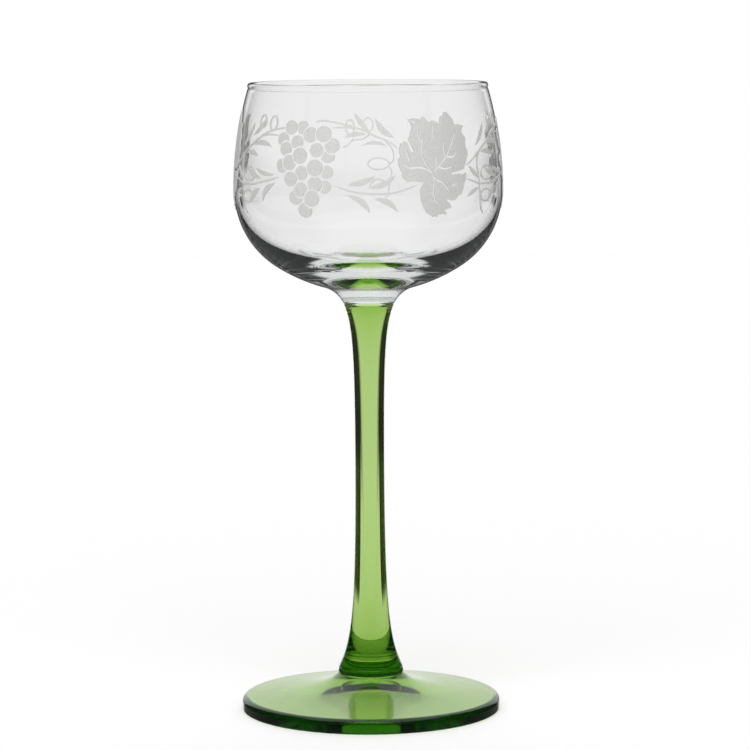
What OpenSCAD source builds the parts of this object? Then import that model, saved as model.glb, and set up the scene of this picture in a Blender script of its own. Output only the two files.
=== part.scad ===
// Stemmed wine glass: a clear blown bowl on a solid green stem and a green foot, with a band of grape vine
// in fired enamel round the front of the bowl. It stands on the table at z = 0, its axis is Z, and its
// front is -Y.

/* [Bowl] */
// Height of the bowl, from its weld on the stem to the rim
bowl_h = 55.2; // [48:0.2:66]
// Outer diameter of the bead at the rim
rim_d = 60.6; // [52:0.2:64]
// Thickness of the fire-polished bead at the rim
rim_bead = 1.5; // [1.3:0.1:2.5]
// Thickness of the wall just below the bead
rim_wall = 1; // [0.8:0.05:1.2]
// Largest outer diameter of the bowl
bowl_d = 67.6; // [67:0.2:74]
// Thickness of the wall at the largest diameter
belly_wall = 1.3; // [0.8:0.05:2]
// Radius of the outside curve from the belly down to the underside
corner_r = 22.6; // [18:0.2:26]
// Radius of the rounded underside
underside_r = 43.2; // [40:0.2:60]
// Height of the underside's lowest point above the weld
neck_h = 2.1; // [1.6:0.1:4]
// Radius of the curve from the underside into the neck
neck_fillet = 8; // [7:0.2:12]
// Thickness of clear glass between the weld and the floor inside
base_t = 8.2; // [6.5:0.1:11]
// Radius of the inside curve from the belly down to the floor
inner_corner_r = 19; // [14:0.5:21]
// Radius of the dished floor inside
floor_r = 75; // [60:5:200]

/* [Stem] */
// Length of the stem between its two welds
stem_h = 95.6; // [70:0.2:120]
// Diameter at the weld under the bowl
stem_top_d = 13.4; // [11:0.2:15]
// Diameter at the waist
waist_d = 6.9; // [5:0.1:9]
// Diameter where the stem meets its collar
stem_base_d = 16; // [13:0.2:18]
// How far down the top flare reaches
top_reach = 19; // [10:1:30]
// How far up the bottom flare reaches
base_reach = 26; // [12:1:34]
// Diameter of the collar at the bottom
collar_d = 16.6; // [15:0.2:20]
// Height of the collar
collar_h = 2.2; // [1.6:0.1:3]
// Radius of the collar's upper edge
collar_round = 1.1; // [0.5:0.1:1.6]
// Radius of the collar's lower edge
collar_toe = 0.4; // [0.2:0.1:0.8]

/* [Foot] */
// Diameter of the foot
foot_d = 65.9; // [56:0.1:80]
// Height of the foot at its boss
foot_h = 9.2; // [8:0.1:14]
// Height of the foot at its edge
edge_h = 3.4; // [2.6:0.1:4.5]
// Radius of the edge's upper rounding
edge_round = 1.6; // [0.6:0.1:2]
// Radius of the edge's lower rounding
toe_round = 0.6; // [0.3:0.1:1]
// Rise of the plain slope from the edge to the middle
crown_h = 3; // [1:0.1:4]
// How far out the boss flares
boss_reach = 12.5; // [5:0.5:16]
// Width of the flat ring that the foot stands on
ring_w = 1.5; // [1:0.1:6]
// Rise of the hollow's plain slope from the ring to the middle
hollow_rise = 2.6; // [1:0.1:3.4]
// Height of the dome in the middle of the hollow, on top of that slope
dome_h = 2.6; // [0.5:0.1:3.2]
// How far out the dome reaches
dome_reach = 10; // [6:0.5:14]

/* [Frieze] */
// Thickness of the fired enamel
enamel_t = 0.25; // [0.1:0.05:0.4]
// Height of the middle of the frieze above the weld
frieze_rise = 35.2; // [34:0.2:37]
// Height of the frieze, from the foot of a large leaf to its tip
frieze_h = 25.5; // [23:0.1:25.7]
// Width of the clear line between two grapes
grape_gap = 0.4; // [0.2:0.05:0.6]
// Width of the vine's branches
branch_w = 0.46; // [0.3:0.02:0.7]
// Width of the thin tendrils
tendril_w = 0.4; // [0.25:0.01:0.6]
// Width of the clear veins in the large leaves
vein_w = 0.34; // [0.2:0.02:0.5]
// Turn of the left bunch from the front of the glass
bunch_turn = -26; // [-60:1:60]
// Distance round the bowl from a bunch to the branch after it
runner_step = 17.1; // [17:0.1:17.3]
// Distance round the bowl from a bunch to the leaf after it
leaf_step = 34.8; // [34.7:0.1:35]
// Distance round the bowl from a bunch to the branch after that leaf
arm_step = 52.8; // [52.7:0.1:52.9]
// Distance round the bowl from a bunch to the next bunch
repeat_step = 70.8; // [70.8:0.1:76]

/* [Hidden] */
$fn = 96;
// Sides of a full circle, for arcs of large radius
fine = 360;

// Steps along a curved outline, round an edge, along one stretch of a branch, along one edge of a small
// leaf, and round a curl
outline_steps = 48;
edge_steps = 8;
branch_steps = 4;
leaflet_steps = 8;
ring_steps = 28;
// The frieze is drawn on a sheet of this height, and set to its own height on the bowl
sheet_h = 25.5;
unit = frieze_h / sheet_h;

foot_r = foot_d / 2;
collar_r = collar_d / 2;
hollow_edge = foot_r - toe_round - ring_w;
weld_z = foot_h + stem_h;
rim_z = weld_z + bowl_h;
bead_r = rim_bead / 2;
bead_x = rim_d / 2 - bead_r;
mouth_r = bead_x - rim_wall / 2;
wall_top_z = rim_z - bead_r;
frieze_z = weld_z + frieze_rise;

// Outside and inside of the bowl: radius at the belly, at the top of the wall, and the lowest point
belly_r = bowl_d / 2;
sole_z = weld_z + neck_h;
belly_z = belly_height(belly_r, corner_r, underside_r, sole_z);
inner_r = belly_r - belly_wall;
floor_z = weld_z + base_t;
inner_z = belly_height(inner_r, inner_corner_r, floor_r, floor_z);

// Height of the belly of a round vessel whose corner arc touches the arc of its sole
function belly_height(belly, corner, sole, low) =
    low + sole - sqrt(pow(sole - corner, 2) - pow(belly - corner, 2));

// Radius of an arc that is upright at the belly and leans in by lean over a height of rise
function side_radius(lean, rise) = (rise * rise + lean * lean) / (2 * lean);

// A flare that is 1 at its end and dies away with the distance from there
function flare(distance, reach) = pow(1 + distance / reach, -3);

stem_base_z = foot_h + collar_h;
function stem_r(z) =
    (waist_d + (stem_top_d - waist_d) * flare(weld_z - z, top_reach)
    + (stem_base_d - waist_d) * flare(z - stem_base_z, base_reach)) / 2;

// Centre of the neck's fillet: it runs through the edge of the weld and touches the underside
weld_edge = [stem_r(weld_z), weld_z];
sole_c = [0, sole_z + underside_r];
neck_c = touching_centre(weld_edge, sole_c, underside_r, neck_fillet);
function touching_centre(edge, centre, radius, fillet) =
    let (gap = norm(centre - edge), along = (centre - edge) / gap)
    let (back = (fillet * fillet - pow(radius + fillet, 2) + gap * gap) / (2 * gap))
    edge + back * along + sqrt(fillet * fillet - back * back) * [along.y, -along.x];

function foot_top(r) =
    let (slope = crown_h * (1 - r / foot_r), boss = foot_h - edge_h - crown_h * (1 - collar_r / foot_r))
    edge_h + slope + boss * flare(r - collar_r, boss_reach);
function foot_under(r) =
    let (out = r / hollow_edge)
    hollow_rise * (1 - out) + dome_h * (1 - out * out) / (1 + pow(r / dome_reach, 2));

// Points of a circular arc between two angles
function arc(centre, radius, from, to, steps) =
    [for (k = [0:steps]) let (a = from + (to - from) * k / steps) centre + radius * [cos(a), sin(a)]];

// A smooth curve through a few chosen points
function bend(a, b, c, d, t) =
    0.5 * (2 * b + (c - a) * t + (2 * a - 5 * b + 4 * c - d) * t * t + (3 * b - a - 3 * c + d) * t * t * t);
function smooth(p) = let (last = len(p) - 1) concat(
    [for (i = [0:last - 1]) for (k = [0:branch_steps - 1])
        bend(p[max(i - 1, 0)], p[i], p[i + 1], p[min(i + 2, last)], k / branch_steps)],
    [p[last]]
);
function across(path, i) =
    let (d = path[min(i + 1, len(path) - 1)] - path[max(i - 1, 0)]) [-d.y, d.x] / norm(d);

// Half of a round vessel, as an outline beside the axis: an upright side arc, a corner arc and a sole arc.
// Each arc touches the next from inside, so the three areas overlap. All of it is grown outwards by grow.
module half_vessel(belly, top, top_z, middle_z, corner, sole, low, grow = 0) {
    side = side_radius(belly - top, top_z - middle_z);
    corner_x = belly - corner;
    sole_up = low + sole;
    far = 2 * belly;
    ray = [corner_x, middle_z - sole_up];
    meet = [corner_x, middle_z] + far * ray / norm(ray);
    intersection() {
        translate([belly - side, middle_z]) circle(side + grow, $fn = fine);
        translate([0, middle_z]) square([far, top_z - middle_z]);
    }
    intersection() {
        translate([corner_x, middle_z]) circle(corner + grow);
        translate([0, meet.y]) square([far, top_z - meet.y]);
    }
    intersection() {
        translate([0, sole_up]) circle(sole + grow, $fn = fine);
        polygon([[0, top_z], [0, meet.y], meet, [corner_x, middle_z], [corner_x, top_z]]);
    }
}

module half_bowl(grow = 0) {
    half_vessel(belly_r, bead_x + rim_wall / 2, wall_top_z, belly_z, corner_r, underside_r, sole_z, grow);
}

module half_neck() {
    touch = sole_c + (neck_c - sole_c) * underside_r / (underside_r + neck_fillet);
    difference() {
        polygon([[0, weld_z], [neck_c.x, weld_z], touch, [0, touch.y]]);
        translate(neck_c) circle(neck_fillet);
    }
}

module bowl() {
    color("whitesmoke", 0.45) rotate_extrude() {
        difference() {
            union() {
                half_bowl();
                half_neck();
            }
            half_vessel(inner_r, mouth_r, wall_top_z, inner_z, inner_corner_r, floor_r, floor_z);
            translate([0, inner_z]) square([mouth_r, rim_z - inner_z]);
        }
        translate([bead_x, wall_top_z]) circle(bead_r);
    }
}

module stem() {
    side = [for (k = [0:outline_steps])
        let (z = stem_base_z + (weld_z - stem_base_z) * k / outline_steps) [stem_r(z), z]];
    toe_c = [collar_r - collar_toe, foot_h + collar_toe];
    shoulder_c = [collar_r - collar_round, stem_base_z - collar_round];
    color("yellowgreen", 0.8) rotate_extrude() {
        polygon(concat([[0, toe_c.y], [stem_r(stem_base_z), toe_c.y]], side, [[0, weld_z]]));
        polygon(concat(
            [[0, foot_h]],
            arc(toe_c, collar_toe, -90, 0, edge_steps),
            arc(shoulder_c, collar_round, 0, 90, edge_steps),
            [[0, stem_base_z]]
        ));
    }
}

module foot() {
    shoulder_r = foot_r - edge_round;
    top = [for (k = [0:outline_steps - 1])
        let (r = collar_r + (shoulder_r - collar_r) * k / outline_steps) [r, foot_top(r)]];
    under = [for (k = [outline_steps:-1:0]) let (r = hollow_edge * k / outline_steps) [r, foot_under(r)]];
    upper_c = [shoulder_r, foot_top(shoulder_r) - edge_round];
    lower_c = [foot_r - toe_round, toe_round];
    color("olivedrab", 0.8) rotate_extrude() polygon(concat(
        [[0, foot_h]],
        top,
        arc(upper_c, edge_round, 90, 0, edge_steps),
        arc(lower_c, toe_round, 0, -90, edge_steps),
        under
    ));
}

// Lays a drawing on the bowl as a coat of enamel, a step round from the left bunch. In a drawing x runs to
// the right and y runs up, from the middle of the frieze.
module enamel(step) {
    turn = bunch_turn + 360 * step / (PI * bowl_d);
    band_h = 2 * min(frieze_z - sole_z, wall_top_z - frieze_z);
    color("silver") intersection() {
        rotate_extrude() intersection() {
            difference() {
                half_bowl(enamel_t);
                half_bowl();
            }
            translate([0, frieze_z - band_h / 2]) square([bowl_d, band_h]);
        }
        rotate([90, 0, turn]) linear_extrude(bowl_d) translate([0, frieze_z]) children();
    }
}

// One stroke along a smooth curve, with narrow ends
module stroke(points, width) {
    path = smooth(points * unit);
    last = len(path) - 1;
    half = [for (i = [0:last]) width / 2 * min(1, 0.4 + 5 * min(i, last - i) / last)];
    polygon(concat(
        [for (i = [0:last]) path[i] + half[i] * across(path, i)],
        [for (i = [last:-1:0]) path[i] - half[i] * across(path, i)]
    ));
}

// A curl of tendril that closes on itself
module curl(centre, rx, ry, width) {
    difference() {
        oval(centre * unit, rx * unit + width / 2, ry * unit + width / 2);
        oval(centre * unit, rx * unit - width / 2, ry * unit - width / 2);
    }
}

module oval(centre, rx, ry) {
    polygon([for (k = [1:ring_steps]) let (a = 360 * k / ring_steps) centre + [rx * cos(a), ry * sin(a)]]);
}

// A small leaf from one tip to the other. Its two edges stand off the line between them by left and right.
module leaflet(from, to, left, right) {
    side = [from.y - to.y, to.x - from.x] / norm(to - from);
    polygon(unit * concat(
        [for (k = [0:leaflet_steps]) let (t = k / leaflet_steps)
            from + (to - from) * t + side * left * 4 * t * (1 - t)],
        [for (k = [leaflet_steps - 1:-1:1]) let (t = k / leaflet_steps)
            from + (to - from) * t + side * right * 4 * t * (1 - t)]
    ));
}

// The grapes of a bunch, from the front one back: where each is, and its radius
grapes = [
    [-5.1, 9.8, 1.75], [3.8, 8.3, 1.95], [-2.3, 3, 1.95], [1.9, 0.1, 2.05], [1.1, -7.4, 1.95],
    [0.4, 8.1, 1.9], [6.1, 5.5, 1.85], [-3.2, 6.3, 1.65], [-5.3, 1.3, 1.9], [-4.8, -2.7, 1.8],
    [2, -3.9, 1.85], [-1.9, -5.2, 1.8], [2.2, 4.4, 1.75], [-6.4, 4.6, 1.7], [-1.7, -1.2, 1.75],
    [5.2, 3, 1.7], [-7.3, 6.9, 1.7], [5, -0.9, 1.6], [-7.3, 0.5, 1.75], [4.5, -4.5, 1.6],
    [-3.2, -7.1, 1.85], [-0.7, -10.2, 1.85], [-1.8, 9.8, 1.6]
];

// Each grape is a disc, cut back by a clear line round every grape in front of it
module grape_bunch(step) {
    placed = grapes * unit;
    enamel(step) for (back = [0:len(placed) - 1]) difference() {
        grape(placed[back], 0);
        for (front = [0:1:back - 1])
            if (norm(place(placed[back]) - place(placed[front]))
                < placed[back].z + placed[front].z + grape_gap) grape(placed[front], grape_gap);
    }
}
function place(g) = [g.x, g.y];
module grape(g, grow) {
    translate(place(g)) circle(g.z + grow);
}

// The branch from a bunch to the next large leaf, with its small leaves and tendrils
module vine_runner(step) {
    enamel(step) {
        stroke([[-10, -4.1], [-6.5, -5.4], [-3, -6], [0, -6.2], [3, -6.1], [6, -5.6], [10.2, -4.2]],
            branch_w);
        stroke([[-10.3, 9.8], [-8, 9.9], [-5, 9.8], [-3, 9.3], [0, 7.8], [2, 7], [4, 6], [5.4, 4.9]],
            branch_w);
        stroke([[-14.2, 11.2], [-12, 11.5], [-9, 11], [-5, 10.1]], branch_w);
        stroke([[-5.1, 7.4], [-6, 6.2], [-7, 5.4], [-7.8, 5.1]], tendril_w);
        stroke([[-5.4, 7], [-3.6, 7], [-2.2, 7.5], [-1.1, 8.5]], tendril_w);
        stroke([[2.6, 6.4], [4, 4.9], [4.5, 3.2], [4.3, 1.8], [3.4, 0.9]], tendril_w);
        stroke([[3.3, 0.8], [3.9, -0.5], [3.8, -1.8], [3.4, -3.2], [3.1, -6], [2.4, -7]], tendril_w);
        stroke([[-1.6, -4.3], [-0.6, -3], [0.6, -2.5], [2.4, -3.2]], tendril_w);
        curl([-6, 10], 1.05, 1.8, tendril_w);
        curl([-1.6, 10.6], 1.15, 1.6, tendril_w);
        curl([0.8, 1.15], 2.6, 1.4, tendril_w);
        leaflet([-7, -3.9], [0.2, -1.7], 0.15, -1.3);
        leaflet([-1.9, -4.6], [5, -1.6], -0.1, -1.6);
        leaflet([-7.1, -6.5], [-1.2, -11.1], 1.8, 0.3);
        leaflet([-0.5, -7.4], [5.6, -10.8], 1.7, 0.2);
        leaflet([-5, 13.5], [-1, 8.5], 0.4, -0.9);
        leaflet([0, 12.2], [4.7, 7.3], 0.1, -1.5);
        leaflet([-7.5, 7.4], [-2.1, 8.2], 1.1, -0.1);
        leaflet([-3.6, 5.3], [3.2, 5.1], 1.5, 0.6);
    }
}

// Edge of a large leaf, from the notch at its left, over its top and down its right side
leaf_edge = [
    [-8.1, 3.6], [-7.8, 4.3], [-8.5, 5.9], [-9, 7.2], [-8.5, 7.7], [-8.3, 8.7], [-7.8, 9.7],
    [-7.9, 10.7], [-8.6, 11.7], [-7.1, 12.1], [-6, 11.8], [-5.3, 11.7], [-4.9, 12.2], [-4.3, 12.2],
    [-3.7, 11.5], [-3.4, 11.1], [-2.8, 11], [-2.2, 11.4], [-1.5, 11.2], [-0.8, 10.9], [-0.5, 10.3],
    [-0.2, 10.9], [0.1, 12.3], [1, 12.6], [1.4, 13.3], [2.2, 13.4], [3.1, 12.5], [4, 11.4], [4.3, 10.3],
    [5.9, 10.2], [7.2, 9.9], [6.7, 9.1], [6.4, 8.4], [6.9, 7.6], [7.5, 7.2], [7.6, 6.6], [7.4, 5.6],
    [7.5, 4.6], [8, 3.8], [8, 2.8], [7.5, 1.7], [7.1, 0.7], [6.4, -0.7], [5, -1], [3.7, -1.3],
    [2.3, -1.4], [2.6, -2], [3.6, -1.8], [5, -1.7], [6.2, -2.1], [6.7, -1.6], [7.1, -1.6], [7.2, -2.2],
    [7.1, -3.3], [6.5, -4], [6.3, -4.6], [5.9, -5.9], [5.5, -6.7], [4.6, -7], [3.7, -7.9], [2.6, -8.3],
    [1.4, -8], [0.4, -7.7], [0.9, -8.2], [1.8, -8.9], [2.3, -10], [1.2, -10.2], [0.3, -10.5],
    [1, -11.4], [0.4, -11.6], [-0.4, -11.4], [-1.5, -11.6], [-1.8, -12.1], [-2.3, -11.8], [-2.8, -12.1],
    [-3.4, -11.6], [-4, -11.4], [-4.8, -10.9], [-5.3, -10], [-5.8, -9.1], [-6.3, -8], [-6.4, -6.7],
    [-6.6, -5.4], [-6.2, -4.6], [-5.6, -3.6], [-7.6, -3.3], [-9.5, -3.3], [-10.4, -2.7], [-11, -1.8],
    [-10.8, -1.2], [-11.4, 0], [-11.7, 1.1], [-11.7, 2.2], [-11.1, 2.8], [-11.3, 4], [-11.2, 4.8],
    [-10.8, 6.1], [-10.4, 5.7], [-10, 6.5], [-9.4, 6.4], [-8.9, 5.2], [-8.5, 3.9]
];
veins = [
    [[-3.1, -1.4], [-4.8, 0.9], [-5.8, 3.3], [-5.5, 5.4], [-5.1, 8.4]],
    [[-3.1, -1.4], [-0.8, 0.7], [1.1, 2.6], [2.2, 4.3], [4.6, 8.7]],
    [[-3.1, -1.4], [-5, -0.3], [-7, 0.1], [-9, 0], [-10.4, 0.9]],
    [[-3.1, -1.4], [-2.4, -2.8], [0, -4.1], [1.8, -6.2]],
    [[-3.1, -1.4], [-2.7, -3.5], [-3, -5.7], [-2.5, -8], [-1.6, -8.8]],
    [[-2.2, -0.4], [-1.9, 1.6], [-2, 3.4]],
    [[0.8, 2.4], [0.4, 4], [0.5, 6.4]],
    [[1.2, 2.5], [3, 2.4], [4.2, 3.4]],
    [[-1.4, 0], [-0.5, -0.2], [0.8, -0.5], [2.6, 0.1]],
    [[2.4, -4.6], [3.4, -4.4], [4.3, -4.1]],
    [[-9.5, 4.1], [-9.3, 2.8], [-8.9, 1.5]],
    [[-2.1, 10.4], [-2.2, 8.6], [-2.7, 7]],
    [[-5.4, 6.2], [-6.2, 7.4], [-6.4, 9]],
    [[-7.7, 11.4], [-7.2, 11.1], [-6.7, 10.9]]
];

module vine_leaf(step) {
    enamel(step) difference() {
        polygon(leaf_edge * unit);
        for (vein = veins) stroke(vein, vein_w);
    }
}

// The branch from a large leaf to the next bunch, with its small leaves and tendrils
module vine_arm(step) {
    enamel(step) {
        stroke([[-10, 0.3], [-6, 2.9], [-3.2, 4.6], [-0.2, 6.2], [2.2, 7.4], [5, 7.9], [8.4, 7.8]], branch_w);
        stroke([[2, 7.6], [4.2, 8.4], [6, 8.9], [8, 9.4], [10.4, 9.7]], branch_w);
        stroke([[-10.2, -3.2], [-5.7, -4.4], [-3.2, -4.5], [-0.3, -4.4], [5.7, -3.3], [9.2, -2.3]], branch_w);
        stroke([[-5, 3.4], [-6, 2], [-6.4, 0], [-6, -2], [-5.6, -6], [-5, -10], [-3.4, -11.9]], tendril_w);
        curl([2.1, 11.1], 1.2, 1.5, tendril_w);
        curl([6.1, 10.7], 1.2, 1.75, tendril_w);
        curl([-2.2, -1.9], 2.7, 1.7, tendril_w);
        curl([-2.8, -7.4], 2.4, 1.5, tendril_w);
        leaflet([-1.5, 7.5], [3.2, 11.7], 0.3, -0.9);
        leaflet([-6.2, 5], [-1.6, 10.4], 0.3, -0.9);
        leaflet([-1, 5.2], [6.4, 5], 1.5, 0.1);
        leaflet([-4.2, 3.3], [1.6, 2.4], 1.2, -0.1);
        leaflet([0.9, -0.3], [7.9, -1.7], -0.1, -1.2);
        leaflet([-3.1, -0.5], [3.1, -2.9], 0.2, -1);
        leaflet([2.4, -5.3], [-1.8, -8.6], 0.5, -1.1);
        leaflet([8.2, -3.9], [3.7, -8.5], -0.3, -1.7);
        leaflet([-9.4, 0], [-5.9, -3.1], 0.5, -0.6);
        leaflet([-10.6, -7.6], [-6, -5.4], 0.7, -0.3);
    }
}

bowl();
stem();
foot();
vine_leaf(leaf_step - repeat_step);  // vine_leaf_1
vine_arm(arm_step - repeat_step);  // vine_arm_1
grape_bunch(0);  // grape_bunch_1
vine_runner(runner_step);
vine_leaf(leaf_step);  // vine_leaf_2
vine_arm(arm_step);  // vine_arm_2
grape_bunch(repeat_step);  // grape_bunch_2
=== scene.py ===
"""A stemmed wine glass: green foot and stem, clear bowl, and a band of grape vine in fired enamel."""

import math

import bpy
import numpy as np
from mathutils import Matrix


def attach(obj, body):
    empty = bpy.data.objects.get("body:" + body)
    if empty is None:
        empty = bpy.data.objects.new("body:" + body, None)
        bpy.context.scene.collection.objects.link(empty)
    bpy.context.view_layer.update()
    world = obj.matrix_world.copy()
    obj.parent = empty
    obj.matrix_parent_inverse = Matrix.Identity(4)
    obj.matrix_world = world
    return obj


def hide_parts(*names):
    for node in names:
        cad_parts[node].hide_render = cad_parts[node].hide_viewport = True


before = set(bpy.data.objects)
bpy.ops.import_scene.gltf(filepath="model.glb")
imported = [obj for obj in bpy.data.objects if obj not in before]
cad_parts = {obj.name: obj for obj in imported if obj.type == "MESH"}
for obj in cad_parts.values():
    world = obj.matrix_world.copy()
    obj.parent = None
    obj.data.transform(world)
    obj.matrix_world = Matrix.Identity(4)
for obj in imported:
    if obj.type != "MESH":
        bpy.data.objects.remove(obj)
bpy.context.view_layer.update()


# Foot: a disc of pressed green glass with a low boss in its middle. It stands on a narrow flat ring
# round a bell-shaped hollow, and its edge is fire-polished round. Sizes of the glass are in mm.

MM = 0.001
foot_r, foot_h, edge_h, crown_h = 32.95, 9.2, 3.4, 3.0
edge_round, edge_end, toe_round, ring_w = 1.6, 82, 0.6, 1.5
boss_r, boss_reach, boss_foot = 8.3, 12.5, 4.0
rise_h, dome_h, dome_reach = 2.6, 2.6, 10.0
crisp, inset = 0.1, 0.4


def flare(distance, reach):
    """A flare that is 1 at its end and falls off with the cube of the distance from there."""
    return (1 + distance / reach) ** -3


def arc(centre, radius, start, end, steps):
    """Points of an arc: centre plus radius times the cosine and sine of an angle in degrees."""
    angle = np.radians(np.linspace(start, end, steps))
    return np.stack([
        centre[0] + radius * np.cos(angle), centre[1] + radius * np.sin(angle),
    ], axis=1)


def turned(name, profile, weld_start, weld_end, turns=256, sharp_angle=40):
    """A closed form turned on the axis of the glass. Each point (radius, height) of the profile goes
    round in equal steps: x is radius times cosine, y is radius times sine. The profile runs from the
    axis out, up the outside and back to the axis, where a ring is one point. Faces of the hot joins
    get 1 in 'weld', and edges sharper than an angle in degrees stay sharp."""
    radius, height = profile.T * MM
    turn = np.arange(turns) * 2 * np.pi / turns
    rings = np.stack([
        np.outer(radius[1:-1], np.cos(turn)),
        np.outer(radius[1:-1], np.sin(turn)),
        np.repeat(height[1:-1, None], turns, axis=1),
    ], axis=2).reshape(-1, 3)
    points = np.vstack([rings, [[0, 0, height[0]], [0, 0, height[-1]]]])
    here, along = np.arange(turns), np.roll(np.arange(turns), -1)
    count = len(radius) - 2
    level = np.arange(count - 1)[:, None] * turns
    quads = np.stack([
        level + here, level + along, level + turns + along, level + turns + here,
    ], axis=2)
    first = np.stack([np.full(turns, count * turns), along, here], axis=1)
    top = (count - 1) * turns
    last = np.stack([np.full(turns, count * turns + 1), top + here, top + along], axis=1)
    mesh = bpy.data.meshes.new(name)
    mesh.from_pydata(points, [], quads.reshape(-1, 4).tolist() + first.tolist() + last.tolist())
    mesh.polygons.foreach_set("use_smooth", np.ones(len(mesh.polygons), bool))
    mesh.set_sharp_from_angle(angle=math.radians(sharp_angle))
    weld = np.zeros(len(mesh.polygons), np.float32)
    weld[-2 * turns:-turns] = weld_start
    weld[-turns:] = weld_end
    mesh.attributes.new("weld", "FLOAT", "FACE").data.foreach_set("value", weld)
    piece = bpy.data.objects.new(name, mesh)
    bpy.context.collection.objects.link(piece)
    return piece


shoulder_r = foot_r - edge_round
toe_r = foot_r - toe_round
hollow_r = toe_r - ring_w
boss_h = foot_h - edge_h - crown_h * (1 - boss_r / foot_r)
top_r = np.concatenate([
    [shoulder_r],
    np.linspace(shoulder_r - inset, boss_r + boss_foot, 60),
    np.linspace(boss_r + boss_foot - inset / 2, boss_r, 24),
])
top_z = edge_h + crown_h * (1 - top_r / foot_r) + boss_h * flare(top_r - boss_r, boss_reach)
under_r = np.linspace(0, hollow_r, 80)
under_z = (rise_h * (1 - under_r / hollow_r)
           + dome_h * (1 - (under_r / hollow_r) ** 2) / (1 + (under_r / dome_reach) ** 2))
foot_profile = np.vstack([
    np.stack([under_r, under_z], axis=1),
    [[hollow_r + crisp, 0]],
    arc((toe_r, toe_round), toe_round, -90, 0, 10),
    arc((shoulder_r, top_z[0] - edge_round), edge_round, 0, edge_end, 10),
    np.stack([top_r, top_z], axis=1)[1:],
    [[boss_r - inset, foot_h], [0, foot_h]],
])
foot = turned("pressed_foot", foot_profile, 0, 1)


def add_node(tree, kind, inputs=None, **settings):
    """Adds a node, gives it its settings, and links or sets its inputs."""
    node = tree.nodes.new(kind)
    for key, value in settings.items():
        setattr(node, key, value)
    for key, value in (inputs or {}).items():
        if isinstance(value, bpy.types.NodeSocket):
            tree.links.new(value, node.inputs[key])
        else:
            node.inputs[key].default_value = value
    return node


def colour(hex_code):
    """Linear colour of an sRGB hex value: a straight line at the dark end, then a power of 2.4."""
    parts = np.array([int(hex_code[k:k + 2], 16) for k in (1, 3, 5)]) / 255
    linear = np.where(parts <= 0.04045, parts / 12.92, ((parts + 0.055) / 1.055) ** 2.4)
    return (*linear.tolist(), 1.0)


def empty_material(name):
    """A new material and its node tree, with no nodes yet."""
    material = bpy.data.materials.new(name)
    material.use_nodes = True
    material.node_tree.nodes.clear()
    return material, material.node_tree


def glass_skin(tree, ripple_scale, ripple_strength, ripple_depth, ior=1.52):
    """The surface of soda-lime glass, with a slight ripple. It bends light by its refractive index,
    but not at the hot joins, where two pieces are one."""
    place = add_node(tree, "ShaderNodeTexCoord")
    ripple = add_node(tree, "ShaderNodeTexNoise", {
        "Vector": place.outputs["Object"], "Scale": ripple_scale, "Detail": 1.0,
    })
    swell = add_node(tree, "ShaderNodeBump", {
        "Height": ripple.outputs["Fac"], "Strength": ripple_strength, "Distance": ripple_depth,
    })
    weld = add_node(tree, "ShaderNodeAttribute", attribute_name="weld")
    bend = add_node(tree, "ShaderNodeMapRange", {
        "Value": weld.outputs["Fac"], "To Min": ior, "To Max": 1.0,
    })
    return add_node(tree, "ShaderNodeBsdfPrincipled", {
        "Base Color": (1, 1, 1, 1), "Roughness": 0.0, "IOR": bend.outputs[0],
        "Transmission Weight": 1.0, "Normal": swell.outputs["Normal"],
    })


def fill_glass(tree, light_path, skin, shadow, tint, density):
    """Closes a glass material: lamps shine through it with a pale shadow, and light that crosses it
    takes its tint, the deeper the farther it goes."""
    through = add_node(tree, "ShaderNodeBsdfTransparent", {"Color": colour(shadow)})
    surface = add_node(tree, "ShaderNodeMixShader", {
        0: light_path.outputs["Is Shadow Ray"], 1: skin.outputs[0], 2: through.outputs[0],
    })
    inside = add_node(tree, "ShaderNodeVolumeAbsorption", {"Color": colour(tint), "Density": density})
    add_node(tree, "ShaderNodeOutputMaterial", {
        "Surface": surface.outputs[0], "Volume": inside.outputs[0],
    })


# Pressed soda-lime glass, coloured green right through. A thin piece is pale yellow-green and a thick
# one is deep green, because the colour comes from the length of glass that light crosses.
green_glass, tree = empty_material("green_soda_lime_glass")
skin = glass_skin(tree, ripple_scale=90.0, ripple_strength=0.05, ripple_depth=0.0004)
light_path = add_node(tree, "ShaderNodeLightPath")
fill_glass(tree, light_path, skin, shadow="#F2F6EE", tint="#C0E23F", density=200.0)

foot.data.materials.append(green_glass)
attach(foot, "root")
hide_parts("foot")


# Stem: a solid rod of the same green glass, drawn out while hot to a slim waist. It flares into the
# bowl and into a rounded collar on the boss of the foot. Its ends run a hair into the pieces they are
# fused to.

weld_z, waist_r, stem_top_r, stem_base_r = 104.8, 3.45, 6.7, 8.0
top_reach, base_reach = 19.0, 26.0
collar_r, collar_h, collar_round, collar_end, collar_toe = 8.3, 2.2, 1.1, 43, 0.4
overlap = 0.02

stem_base_z = foot_h + collar_h
stem_z = np.linspace(stem_base_z, weld_z, 220)
stem_r = (waist_r + (stem_top_r - waist_r) * flare(weld_z - stem_z, top_reach)
          + (stem_base_r - waist_r) * flare(stem_z - stem_base_z, base_reach))
stem_profile = np.vstack([
    [[0, foot_h - overlap], [collar_r - collar_toe - crisp / 2, foot_h - overlap]],
    arc((collar_r - collar_toe, foot_h + collar_toe), collar_toe, -90, 0, 8),
    arc((collar_r - collar_round, stem_base_z - collar_round), collar_round, 0, collar_end, 12),
    np.stack([stem_r, stem_z], axis=1),
    [[stem_r[-1], weld_z + overlap], [0, weld_z + overlap]],
])
stem = turned("drawn_stem", stem_profile, 1, 1)
stem.data.materials.append(green_glass)
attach(stem, "root")
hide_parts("stem")


# Bowl: clear glass, blown in a mould, with a thick base, a thin wall that leans in towards the mouth,
# and a fire-polished bead at the rim. Its short neck is fused to the stem.

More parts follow.
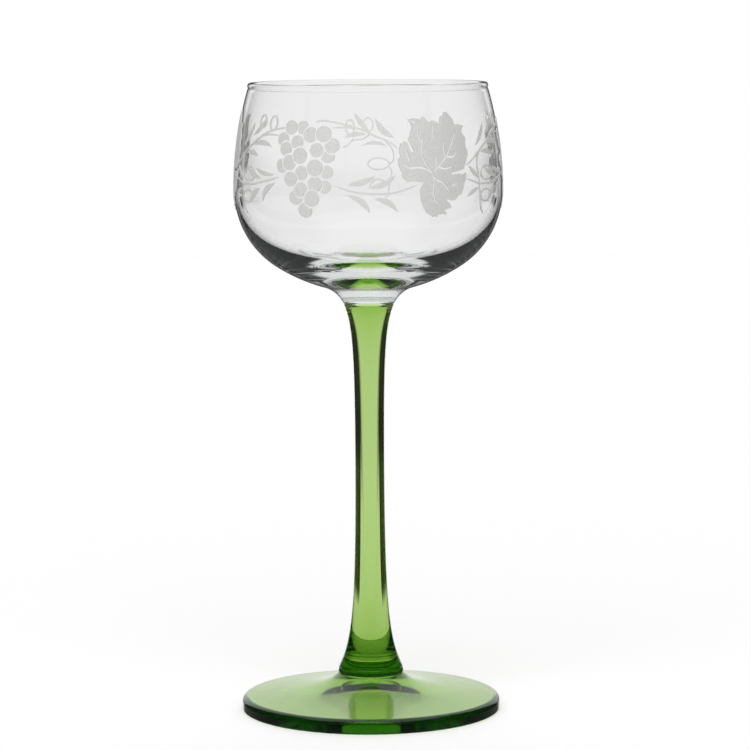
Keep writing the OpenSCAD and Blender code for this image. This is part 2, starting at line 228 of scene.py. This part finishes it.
belly_r, corner_r, underside_r, sole_z, neck_fillet = 33.8, 22.6, 43.2, 106.9, 8.0
inner_r, inner_corner_r, floor_r, floor_z = 32.5, 19.0, 75.0, 113.0
rim_z, rim_x, rim_wall = 160.0, 29.55, 1.0
bead_r, bead_start, bead_end = 0.75, -42, 222


def cup(belly, corner, sole, low, top, top_z):
    """One wall of the bowl from its lowest point up: an arc of the sole round a centre on the axis,
    the corner arc that touches it, and the side arc that is upright at the belly. Returns the heights
    of the sole's centre and of the belly, the angle where sole and corner touch, and the side's radius
    and its angle at the top."""
    sole_c = low + sole
    belly_z = sole_c - math.sqrt((sole - corner) ** 2 - (belly - corner) ** 2)
    touch = math.degrees(math.atan2(belly_z - sole_c, belly - corner))
    lean, rise = belly - top, top_z - belly_z
    side = (rise ** 2 + lean ** 2) / (2 * lean)
    tilt = math.degrees(math.asin(rise / side))
    return sole_c, belly_z, touch, side, tilt


wall_top_z = rim_z - bead_r
outer_r = belly_r + overlap
sole_c, belly_z, touch, side, tilt = cup(
    outer_r, corner_r, underside_r, sole_z, rim_x + rim_wall / 2 + overlap, wall_top_z,
)
in_c, in_z, in_touch, in_side, in_tilt = cup(
    inner_r, inner_corner_r, floor_r, floor_z, rim_x - rim_wall / 2, wall_top_z,
)

# The neck is a fillet from the edge of the weld that touches the arc of the sole from outside.
weld_edge = np.array([stem_r[-1], weld_z])
gap = np.array([0, sole_c]) - weld_edge
span = np.linalg.norm(gap)
reach = (neck_fillet ** 2 - (underside_r + neck_fillet) ** 2 + span ** 2) / (2 * span)
outward = np.array([gap[1], -gap[0]]) / span
neck_c = weld_edge + reach * gap / span + math.sqrt(neck_fillet ** 2 - reach ** 2) * outward
neck_start = math.degrees(math.atan2(*(weld_edge - neck_c)[::-1]))
neck_touch = math.degrees(math.atan2(sole_c - neck_c[1], -neck_c[0]))
bowl_profile = np.vstack([
    [[0, weld_z]],
    arc(neck_c, neck_fillet, neck_start, neck_touch, 24),
    arc((0, sole_c), underside_r, neck_touch - 180, touch, 40)[1:],
    arc((outer_r - corner_r, belly_z), corner_r, touch, 0, 40)[1:],
    arc((outer_r - side, belly_z), side, 0, tilt, 40)[1:-2],
    arc((rim_x, wall_top_z), bead_r, bead_start, bead_end, 26),
    arc((inner_r - in_side, in_z), in_side, in_tilt, 0, 40)[2:],
    arc((inner_r - inner_corner_r, in_z), inner_corner_r, 0, in_touch, 40)[1:],
    arc((0, in_c), floor_r, in_touch, -90, 24)[1:],
])
bowl_profile[-1, 0] = 0  # the floor ends on the axis
bowl = turned("blown_bowl", bowl_profile, 1, 0)

# Clear soda-lime glass, blown and fire-polished: almost no colour of its own, and a mirror-smooth skin
# with the slight ripple that blowing leaves. Painted shade draws a thin dark line where its wall is
# seen edge-on, for the camera only.
painted_edge_from, painted_edge_to, painted_edge_depth = 0.72, 0.9, 0.9
clear_glass, tree = empty_material("clear_soda_lime_glass")
skin = glass_skin(tree, ripple_scale=70.0, ripple_strength=0.04, ripple_depth=0.0003)
light_path = add_node(tree, "ShaderNodeLightPath")
# Painted shade: towards the edge-on parts of the wall, camera rays get a near-black see-through shader
# mixed in.
away = add_node(tree, "ShaderNodeLayerWeight", {"Blend": 0.5})
painted_edge_shade = add_node(tree, "ShaderNodeMapRange", {
    "Value": away.outputs["Facing"], "From Min": painted_edge_from, "From Max": painted_edge_to, "To Max": painted_edge_depth,
})
painted_edge_for_camera = add_node(tree, "ShaderNodeMath", {
    0: painted_edge_shade.outputs[0], 1: light_path.outputs["Is Camera Ray"],
}, operation="MULTIPLY")
painted_edge_black = add_node(tree, "ShaderNodeBsdfTransparent", {"Color": colour("#101210")})
glass_with_painted_edge = add_node(tree, "ShaderNodeMixShader", {
    0: painted_edge_for_camera.outputs[0], 1: skin.outputs[0], 2: painted_edge_black.outputs[0],
})
fill_glass(tree, light_path, glass_with_painted_edge, shadow="#F7F8F7", tint="#D8E0DC", density=12.0)

bowl.data.materials.append(clear_glass)
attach(bowl, "root")
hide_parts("bowl")


# Frieze: bunches of grapes, vine leaves and branches, printed on the bowl in white enamel and fired.
# The coat is thin and satin, and lets some light through.

# White vitreous enamel, fired to a satin skin with a fine grain. It is seen once from each side: a
# ray that is already inside the coat leaves it freely.
light_share = 0.25
enamel, tree = empty_material("fired_satin_enamel")
place = add_node(tree, "ShaderNodeTexCoord")
grain = add_node(tree, "ShaderNodeTexNoise", {
    "Vector": place.outputs["Object"], "Scale": 2200.0, "Detail": 2.0,
})
tone = add_node(tree, "ShaderNodeValToRGB", {"Fac": grain.outputs["Fac"]})
darker, lighter = tone.color_ramp.elements
darker.position, darker.color = 0.3, colour("#DADAD8")
lighter.position, lighter.color = 0.7, colour("#E6E6E4")
coat = add_node(tree, "ShaderNodeBsdfPrincipled", {
    "Base Color": tone.outputs["Color"], "Roughness": 0.55, "IOR": 1.5,
})
glow = add_node(tree, "ShaderNodeBsdfTranslucent", {"Color": tone.outputs["Color"]})
thin = add_node(tree, "ShaderNodeMixShader", {
    0: light_share, 1: coat.outputs[0], 2: glow.outputs[0],
})
leaving = add_node(tree, "ShaderNodeBsdfTransparent")
side_seen = add_node(tree, "ShaderNodeNewGeometry")
satin = add_node(tree, "ShaderNodeMixShader", {
    0: side_seen.outputs["Backfacing"], 1: thin.outputs[0], 2: leaving.outputs[0],
})
add_node(tree, "ShaderNodeOutputMaterial", {"Surface": satin.outputs[0]})

for name in (
    "vine_leaf_1", "vine_arm_1", "grape_bunch_1", "vine_runner",
    "vine_leaf_2", "vine_arm_2", "grape_bunch_2",
):
    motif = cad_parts[name]
    motif.data.materials.clear()
    motif.data.materials.append(enamel)


# Setting: a table of white paper in front of a white screen, with dark flags at both sides, as glass
# is photographed. The flags draw the dark edges of the glass.

table_r, table_sides = 1.5, 96
around = np.arange(table_sides) * 2 * np.pi / table_sides
table = bpy.data.meshes.new("table")
table.from_pydata(
    np.stack([table_r * np.cos(around), table_r * np.sin(around), np.zeros(table_sides)], axis=1),
    [], [list(range(table_sides))],
)
floor = bpy.data.objects.new("table", table)
bpy.context.collection.objects.link(floor)

# Matt white paper. To the camera it is lifted to the white of the screen behind it, less the shadow.
# Through the glass it is seen only under the foot, and the light tent takes over from there.
paper_lift = 0.21
paper, tree = empty_material("white_paper")
light_path = add_node(tree, "ShaderNodeLightPath")
sheet = add_node(tree, "ShaderNodeBsdfDiffuse", {"Color": colour("#F2F2F2")})
lift = add_node(tree, "ShaderNodeMath", {
    0: light_path.outputs["Is Camera Ray"], 1: paper_lift,
}, operation="MULTIPLY")
lifted = add_node(tree, "ShaderNodeEmission", {"Strength": lift.outputs[0]})
bright_sheet = add_node(tree, "ShaderNodeAddShader", {0: sheet.outputs[0], 1: lifted.outputs[0]})
place = add_node(tree, "ShaderNodeTexCoord")
far = add_node(tree, "ShaderNodeVectorMath", {0: place.outputs["Object"]}, operation="LENGTH")
past_foot = add_node(tree, "ShaderNodeMath", {
    0: far.outputs["Value"], 1: foot_r * MM,
}, operation="GREATER_THAN")
through_glass = add_node(tree, "ShaderNodeMath", {
    0: light_path.outputs["Is Transmission Ray"], 1: light_path.outputs["Is Glossy Ray"],
}, operation="MAXIMUM")
unseen = add_node(tree, "ShaderNodeMath", {
    0: past_foot.outputs[0], 1: through_glass.outputs[0],
}, operation="MULTIPLY")
tent = add_node(tree, "ShaderNodeBsdfTransparent")

# The flags go on over the table as two dark strips, given by the sine of their bearing and by their
# distance in metres. They show to rays that skim the table after the two surfaces of one piece of
# glass, as the stem is.
bearing_from, bearing_to = 0.3, 0.87
strip_near, strip_far, strip_light = 0.05, 0.72, 0.03
skim_from, skim_to, surface_limit = 0.7, 0.76, 2.5
across = add_node(tree, "ShaderNodeSeparateXYZ", {"Vector": place.outputs["Object"]})
sine = add_node(tree, "ShaderNodeMath", {
    0: across.outputs["Y"], 1: far.outputs["Value"],
}, operation="DIVIDE")
aside = add_node(tree, "ShaderNodeMath", {
    0: sine.outputs[0], 1: (bearing_to + bearing_from) / 2, 2: (bearing_to - bearing_from) / 2,
}, operation="COMPARE")
within = add_node(tree, "ShaderNodeMath", {
    0: far.outputs["Value"], 1: (strip_far + strip_near) / 2, 2: (strip_far - strip_near) / 2,
}, operation="COMPARE")
grazing = add_node(tree, "ShaderNodeLayerWeight", {"Blend": 0.5})
skimming = add_node(tree, "ShaderNodeMapRange", {
    "Value": grazing.outputs["Facing"], "From Min": skim_from, "From Max": skim_to,
}, interpolation_type="SMOOTHSTEP")
one_piece = add_node(tree, "ShaderNodeMath", {
    0: light_path.outputs["Transmission Depth"], 1: surface_limit,
}, operation="LESS_THAN")
strip_place = add_node(tree, "ShaderNodeMath", {
    0: aside.outputs[0], 1: within.outputs[0],
}, operation="MULTIPLY")
strip_ray = add_node(tree, "ShaderNodeMath", {
    0: skimming.outputs[0], 1: one_piece.outputs[0],
}, operation="MULTIPLY")
strip = add_node(tree, "ShaderNodeMath", {
    0: strip_place.outputs[0], 1: strip_ray.outputs[0],
}, operation="MULTIPLY")
black = add_node(tree, "ShaderNodeEmission", {"Strength": strip_light})
beyond = add_node(tree, "ShaderNodeMixShader", {
    0: strip.outputs[0], 1: tent.outputs[0], 2: black.outputs[0],
})
laid = add_node(tree, "ShaderNodeMixShader", {
    0: unseen.outputs[0], 1: bright_sheet.outputs[0], 2: beyond.outputs[0],
})
add_node(tree, "ShaderNodeOutputMaterial", {"Surface": laid.outputs[0]})
table.materials.append(paper)

# Light tent, the things that glass shows: a white screen behind that widens upwards, a white roof,
# the white table below, and dark flags at both sides. A screen at the left shows only to rays that no
# glass has mirrored. Each edge runs from dark to light, by height or by the sine of the bearing.
screen_widens, screen_dark, screen_light, screen_white = 0.35, 0.82, 0.91, 0.93
roof_dark, roof_light = 0.75, 0.9
table_dark, table_light, table_white, mirror_loss = -0.11, -0.17, 0.9, 0.85
left_edge, mirrored_once, flag_black = -0.94, 0.5, 0.035
world = bpy.data.worlds.new("light_tent")
bpy.context.scene.world = world
world.use_nodes = True
tree = world.node_tree
tree.nodes.clear()
way = add_node(tree, "ShaderNodeTexCoord")
steep = add_node(tree, "ShaderNodeSeparateXYZ", {"Vector": way.outputs["Generated"]})
level = add_node(tree, "ShaderNodeVectorMath", {
    0: way.outputs["Generated"], 1: (1, 1, 0),
}, operation="MULTIPLY")
bearing = add_node(tree, "ShaderNodeVectorMath", {0: level.outputs[0]}, operation="NORMALIZE")
turn = add_node(tree, "ShaderNodeSeparateXYZ", {"Vector": bearing.outputs[0]})
spread = add_node(tree, "ShaderNodeMath", {
    0: steep.outputs["Z"], 1: screen_widens, 2: turn.outputs["Y"],
}, operation="MULTIPLY_ADD")
behind = add_node(tree, "ShaderNodeMapRange", {
    "Value": spread.outputs[0], "From Min": screen_dark, "From Max": screen_light,
    "To Max": screen_white,
}, interpolation_type="SMOOTHSTEP")
roof = add_node(tree, "ShaderNodeMapRange", {
    "Value": steep.outputs["Z"], "From Min": roof_dark, "From Max": roof_light,
}, interpolation_type="SMOOTHSTEP")
table_top = add_node(tree, "ShaderNodeMapRange", {
    "Value": steep.outputs["Z"], "From Min": table_dark, "From Max": table_light,
    "To Max": table_white,
}, interpolation_type="SMOOTHSTEP")
light_path = add_node(tree, "ShaderNodeLightPath")
mirrored = add_node(tree, "ShaderNodeMath", {
    0: light_path.outputs["Is Reflection Ray"], 1: -mirror_loss, 2: 1.0,
}, operation="MULTIPLY_ADD")
below = add_node(tree, "ShaderNodeMath", {
    0: table_top.outputs[0], 1: mirrored.outputs[0],
}, operation="MULTIPLY")
left = add_node(tree, "ShaderNodeMath", {
    0: turn.outputs["X"], 1: left_edge,
}, operation="LESS_THAN")
straight = add_node(tree, "ShaderNodeMath", {
    0: light_path.outputs["Glossy Depth"], 1: mirrored_once,
}, operation="LESS_THAN")
beside = add_node(tree, "ShaderNodeMath", {
    0: left.outputs[0], 1: straight.outputs[0],
}, operation="MULTIPLY")
upper = add_node(tree, "ShaderNodeMath", {
    0: behind.outputs[0], 1: roof.outputs[0],
}, operation="MAXIMUM")
lower = add_node(tree, "ShaderNodeMath", {
    0: below.outputs[0], 1: beside.outputs[0],
}, operation="MAXIMUM")
white = add_node(tree, "ShaderNodeMath", {
    0: upper.outputs[0], 1: lower.outputs[0],
}, operation="MAXIMUM")
seen = add_node(tree, "ShaderNodeMath", {0: white.outputs[0], 1: flag_black}, operation="MAXIMUM")

# The enamel and the paper get a soft fill from front and back, a little more from the back. The
# camera sees plain white.
fill_back, fill_ends, fill_all = 0.25, 0.6, 0.12
front_and_back = add_node(tree, "ShaderNodeMath", {
    0: turn.outputs["Y"], 1: turn.outputs["Y"],
}, operation="MULTIPLY")
backed = add_node(tree, "ShaderNodeMath", {
    0: turn.outputs["Y"], 1: fill_back, 2: fill_ends,
}, operation="MULTIPLY_ADD")
fill = add_node(tree, "ShaderNodeMath", {
    0: front_and_back.outputs[0], 1: backed.outputs[0], 2: fill_all,
}, operation="MULTIPLY_ADD")
through_glass = add_node(tree, "ShaderNodeMath", {
    0: light_path.outputs["Is Transmission Ray"], 1: light_path.outputs["Is Glossy Ray"],
}, operation="MAXIMUM")
soft = add_node(tree, "ShaderNodeMix", {
    "Factor": through_glass.outputs[0], "A": fill.outputs[0], "B": seen.outputs[0],
}, data_type="FLOAT")
shown = add_node(tree, "ShaderNodeMix", {
    "Factor": light_path.outputs["Is Camera Ray"], "A": soft.outputs[0], "B": 1.0,
}, data_type="FLOAT")
sky = add_node(tree, "ShaderNodeBackground", {"Color": (1, 1, 1, 1), "Strength": shown.outputs[0]})
add_node(tree, "ShaderNodeOutputWorld", {"Surface": sky.outputs[0]})

# A wide lamp in front and above lights the enamel. It is kept out of the glass's reflections.
lamp_width, lamp_tilt, lamp_turn = 60, 50, -8
lamp_data = bpy.data.lights.new("front_softbox", "SUN")
lamp_data.angle = math.radians(lamp_width)
lamp_data.energy = 2.3
lamp = bpy.data.objects.new("front_softbox", lamp_data)
lamp.rotation_euler = (math.radians(lamp_tilt), 0, math.radians(lamp_turn))
lamp.visible_glossy = False
lamp.visible_transmission = False
bpy.context.collection.objects.link(lamp)

# Light crosses many glass surfaces in the thick base of the bowl.
bounces = 32
bpy.context.scene.cycles.max_bounces = bounces
bpy.context.scene.cycles.transmission_bounces = bounces
bpy.context.scene.cycles.glossy_bounces = bounces

# Camera: the photo's view, a long lens a little above the rim that looks slightly down.
camera_y, camera_z, look_down, roll = -0.861, 0.183, 0.1123, 0.0056
camera_data = bpy.data.cameras.new("camera")
camera_data.lens = 163.8
camera_data.sensor_width = 36.0
camera_data.shift_x = 0.00756
camera = bpy.data.objects.new("camera", camera_data)
bpy.context.collection.objects.link(camera)
camera.matrix_world = (
    Matrix.Translation((0, camera_y, camera_z))
    @ Matrix.Rotation(math.pi / 2 - look_down, 4, "X")
    @ Matrix.Rotation(-roll, 4, "Z")
)
bpy.context.scene.camera = camera
bpy.context.scene.view_settings.view_transform = "Standard"
